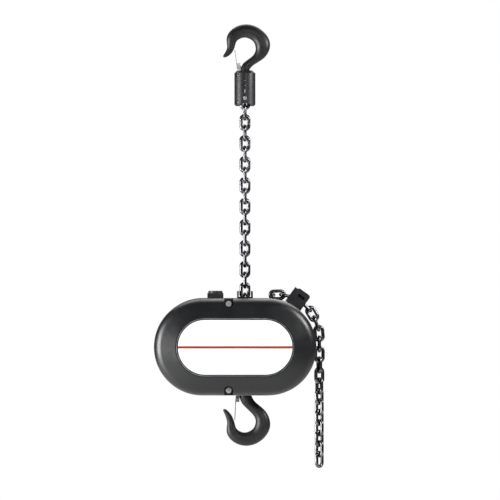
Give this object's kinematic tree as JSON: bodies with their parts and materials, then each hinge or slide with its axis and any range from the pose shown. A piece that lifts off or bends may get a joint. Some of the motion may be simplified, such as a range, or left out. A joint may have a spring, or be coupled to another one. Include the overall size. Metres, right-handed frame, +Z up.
{
  "type": "chain hoist",
  "caption": "Electric chain hoist hung from its own load chain, with a swivel hook block above, a stadium-shaped body and a load hook below.",
  "frame": {"origin": "point where the upper hook bears on what holds it, on the load line", "axes": "+X to the right seen from the label side, +Y to the rear, +Z up along the load chain"},
  "size_m": [0.3404, 0.231, 0.8878],
  "materials": {
    "forged_black": "satin black paint on forged steel",
    "latch_steel": "bright zinc-plated sheet",
    "pin_steel": "machined steel",
    "chain_steel": "bright hardened chain, lightly oiled",
    "cover_black": "satin black powder coat on cast aluminium",
    "frame_cast": "black painted casting",
    "label_white": "white plate with a black edge and one orange line",
    "screw_black": "blackened steel",
    "screw_zinc": "bright zinc-plated screw",
    "guide_steel": "blackened steel",
    "stop_black": "satin black",
    "inlet_black": "ribbed black moulding",
    "gear_steel": "ground steel, oiled",
    "core_steel": "laminated steel",
    "brake_lining": "friction lining on steel"
  },
  "bodies": {
    "upper_hook": {"upper_hook": "forged_black", "upper_latch_pin": "pin_steel", "upper_latch_spring": "pin_steel", "upper_hook_nut": "pin_steel", "upper_thrust_bearing": "pin_steel"},
    "upper_latch": {"upper_latch": "latch_steel"},
    "hook_block": {"block_left_half": "forged_black", "block_right_half": "forged_black", "block_screws": "pin_steel", "block_chain_pin": "pin_steel"},
    "chain_1": {"load_chain_1": "chain_steel"},
    "chain_2": {"load_chain_2": "chain_steel"},
    "chain_3": {"load_chain_3": "chain_steel"},
    "chain_4": {"load_chain_4": "chain_steel"},
    "hoist_body": {"centre_frame": "frame_cast", "back_plate": "frame_cast", "gear_case_cover": "guide_steel", "front_cover": "cover_black", "rear_cover": "cover_black", "front_label": "label_white", "cover_screws": "screw_zinc", "chain_guide": "guide_steel", "cable_inlet": "inlet_black", "cable_inlet_cap": "inlet_black", "suspension_yoke": "guide_steel", "suspension_pins": "pin_steel", "lower_thrust_bearing": "pin_steel", "ball_bearings": "pin_steel", "motor_housing": "frame_cast", "motor_stator": "core_steel", "brake_coil": "core_steel", "brake_springs": "pin_steel", "limit_switches": "inlet_black", "contactors": "inlet_black", "transformer": "core_steel", "terminal_block": "inlet_black", "slack_chain_shoulder": "chain_steel", "chain_stop": "stop_black", "chain_stop_bolts": "screw_black"},
    "load_wheel": {"load_wheel": "gear_steel", "output_gear": "gear_steel", "chain_on_wheel": "chain_steel"},
    "second_shaft": {"second_gear_shaft": "gear_steel", "second_gear": "gear_steel"},
    "first_shaft": {"first_gear_shaft": "gear_steel", "first_gear": "gear_steel"},
    "motor_rotor": {"motor_shaft": "gear_steel", "motor_rotor": "core_steel", "cooling_fan": "inlet_black", "brake_disc": "brake_lining"},
    "limit_screw": {"limit_screw": "gear_steel"},
    "limit_nuts": {"limit_nuts": "inlet_black"},
    "brake_armature": {"brake_armature": "core_steel"},
    "lower_hook": {"lower_hook": "forged_black", "lower_hook_nut": "pin_steel", "lower_latch_pin": "pin_steel", "lower_latch_spring": "pin_steel"},
    "lower_latch": {"lower_latch": "latch_steel"},
    "slack_upper": {"slack_chain_upper": "chain_steel"},
    "slack_end": {"slack_chain_end": "chain_steel"}
  },
  "joints": [
    {"name": "upper_latch_hinge", "type": "hinge", "parent": "upper_hook", "child": "upper_latch", "pos_m": [-0.012, 0, -0.0598], "axis": [0, 1, 0], "range_deg": [0, 30], "stiffness_Nm_per_rad": 0.25, "springref_deg": -34.38},
    {"name": "hook_swivel", "type": "hinge", "parent": "upper_hook", "child": "hook_block", "pos_m": [0, 0, -0.0654], "axis": [0, 0, 1], "continuous": true},
    {"name": "chain_pin_swing", "type": "hinge", "parent": "hook_block", "child": "chain_1", "pos_m": [0, 0, -0.1211], "axis": [0, 1, 0], "range_deg": [-10, 10]},
    {"name": "chain_bend_1", "type": "hinge", "parent": "chain_1", "child": "chain_2", "pos_m": [0, 0, -0.22566], "axis": [1, 0, 0], "range_deg": [-20, 20]},
    {"name": "chain_bend_2", "type": "hinge", "parent": "chain_2", "child": "chain_3", "pos_m": [0, 0, -0.33066], "axis": [0, -1, 0], "range_deg": [-20, 20]},
    {"name": "chain_bend_3", "type": "hinge", "parent": "chain_3", "child": "chain_4", "pos_m": [0, 0, -0.43566], "axis": [-1, 0, 0], "range_deg": [-20, 20]},
    {"name": "chain_feed", "type": "slide", "parent": "chain_4", "child": "hoist_body", "axis": [0, 0, 1], "range_m": [-0.042, 0.042], "deforming": ["chain_on_wheel"]},
    {"name": "wheel_spin", "type": "hinge", "parent": "hoist_body", "child": "load_wheel", "pos_m": [0.02387, 0, -0.61058], "axis": [0, -1, 0], "range_deg": [-95, 95]},
    {"name": "second_shaft_spin", "type": "hinge", "parent": "hoist_body", "child": "second_shaft", "pos_m": [-0.0446, 0, -0.59603], "axis": [0, -1, 0], "range_deg": [-380, 380]},
    {"name": "first_shaft_spin", "type": "hinge", "parent": "hoist_body", "child": "first_shaft", "pos_m": [-0.06256, 0, -0.64536], "axis": [0, -1, 0], "range_deg": [-1520, 1520]},
    {"name": "motor_spin", "type": "hinge", "parent": "hoist_body", "child": "motor_rotor", "pos_m": [-0.02291, 0, -0.62687], "axis": [0, -1, 0], "range_deg": [-6100, 6100]},
    {"name": "limit_screw_spin", "type": "hinge", "parent": "hoist_body", "child": "limit_screw", "pos_m": [0.07071, 0, -0.6626], "axis": [0, -1, 0], "range_deg": [-380, 380]},
    {"name": "limit_nut_travel", "type": "slide", "parent": "hoist_body", "child": "limit_nuts", "axis": [0, 1, 0], "range_m": [-0.0016, 0.0016]},
    {"name": "brake_release", "type": "slide", "parent": "hoist_body", "child": "brake_armature", "axis": [0, 1, 0], "range_m": [0, 0.0006], "stiffness_N_per_m": 8000, "springref_m": -0.006},
    {"name": "lower_hook_swivel", "type": "hinge", "parent": "hoist_body", "child": "lower_hook", "pos_m": [0, 0, -0.67698], "axis": [0, 0, 1], "continuous": true},
    {"name": "lower_latch_hinge", "type": "hinge", "parent": "lower_hook", "child": "lower_latch", "pos_m": [-0.0148, 0, -0.71918], "axis": [0, -1, 0], "range_deg": [0, 24], "stiffness_Nm_per_rad": 0.25, "springref_deg": -34.38},
    {"name": "slack_swing", "type": "hinge", "parent": "hoist_body", "child": "slack_upper", "pos_m": [0.14878, 0, -0.59828], "axis": [0, -1, 0], "range_deg": [0, 30]},
    {"name": "slack_bend", "type": "hinge", "parent": "slack_upper", "child": "slack_end", "pos_m": [0.14878, 0, -0.73144], "axis": [0.7071, 0.7071, 0], "range_deg": [-20, 20]}
  ],
  "couplings": [
    {"joint": "wheel_spin", "follows": "chain_feed", "rad_per_m": 37.4},
    {"joint": "second_shaft_spin", "follows": "chain_feed", "rad_per_m": -149.6},
    {"joint": "first_shaft_spin", "follows": "chain_feed", "rad_per_m": 598.4},
    {"joint": "motor_spin", "follows": "chain_feed", "rad_per_m": -2393.6},
    {"joint": "limit_screw_spin", "follows": "chain_feed", "rad_per_m": -149.6},
    {"joint": "limit_nut_travel", "follows": "chain_feed", "ratio": -0.035714}
  ]
}
